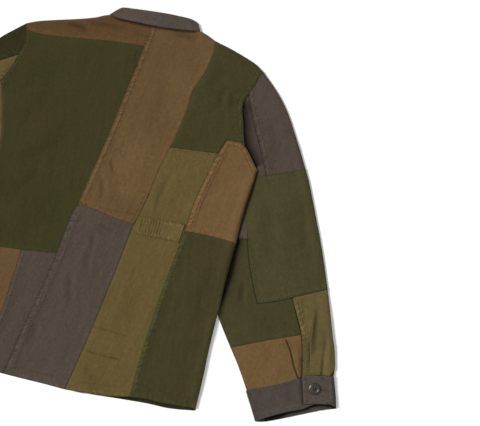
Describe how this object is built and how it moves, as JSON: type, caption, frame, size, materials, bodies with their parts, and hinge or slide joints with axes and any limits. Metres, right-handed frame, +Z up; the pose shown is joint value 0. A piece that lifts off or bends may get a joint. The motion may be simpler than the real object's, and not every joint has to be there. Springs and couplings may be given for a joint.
{
  "type": "patchwork work jacket laid flat, back up",
  "caption": "Cotton twill work jacket pieced from green, brown, olive and grey patches, laid flat with its back up and its sleeves angled down.",
  "frame": {"origin": "middle of the laid-out jacket's outline, on the surface that it lies on", "axes": "+Z up out of the back, +Y to the collar, +X to the wearer's right sleeve; the front faces down"},
  "size_m": [0.9696, 0.7179, 0.0103],
  "materials": {
    "twill_green": "dark green brushed cotton twill, matt",
    "twill_dark": "darker green cotton twill, matt, slightly faded",
    "twill_sleeve_green": "green cotton twill, matt",
    "twill_brown": "tan-brown cotton twill, matt",
    "twill_yoke_brown": "dark brown cotton twill, matt",
    "twill_olive": "olive cotton twill, matt",
    "twill_grey": "warm grey-brown cotton twill, matt",
    "twill_trim": "grey cotton twill of collar and cuffs, matt",
    "button": "dark olive-grey moulded four-hole button, satin"
  },
  "bodies": {
    "root": {"back_brown_lower_left": "twill_brown", "back_green_lower": "twill_green", "back_grey_centre": "twill_grey", "back_grey_lower_left": "twill_grey", "back_olive_lower": "twill_olive", "back_olive_upper": "twill_olive", "back_panel_left": "twill_dark", "back_shoulder_right": "twill_green", "back_side_brown": "twill_brown", "back_strip_brown": "twill_brown", "back_waist_casing": "twill_olive", "back_yoke_left": "twill_yoke_brown", "button_cuff_left": "button", "button_cuff_right": "button", "button_front_1": "button", "button_front_2": "button", "button_front_3": "button", "button_front_4": "button", "button_front_5": "button", "collar_fall": "twill_trim", "collar_leaf_left": "twill_trim", "collar_leaf_right": "twill_trim", "collar_stand": "twill_trim", "cuff_left_tab": "twill_trim", "cuff_left_under": "twill_trim", "cuff_left_upper": "twill_trim", "cuff_right_tab": "twill_trim", "cuff_right_under": "twill_trim", "cuff_right_upper": "twill_trim", "front_left": "twill_green", "front_right": "twill_green", "sleeve_left_band": "twill_olive", "sleeve_left_cap": "twill_green", "sleeve_left_forearm": "twill_sleeve_green", "sleeve_left_slit_binding": "twill_sleeve_green", "sleeve_left_underside": "twill_sleeve_green", "sleeve_left_upper": "twill_brown", "sleeve_right_cap": "twill_grey", "sleeve_right_elbow": "twill_sleeve_green", "sleeve_right_forearm_brown": "twill_brown", "sleeve_right_forearm_green": "twill_sleeve_green", "sleeve_right_forearm_olive": "twill_olive", "sleeve_right_slit_binding": "twill_olive", "sleeve_right_underarm": "twill_grey", "sleeve_right_underside": "twill_sleeve_green"}
  },
  "joints": []
}
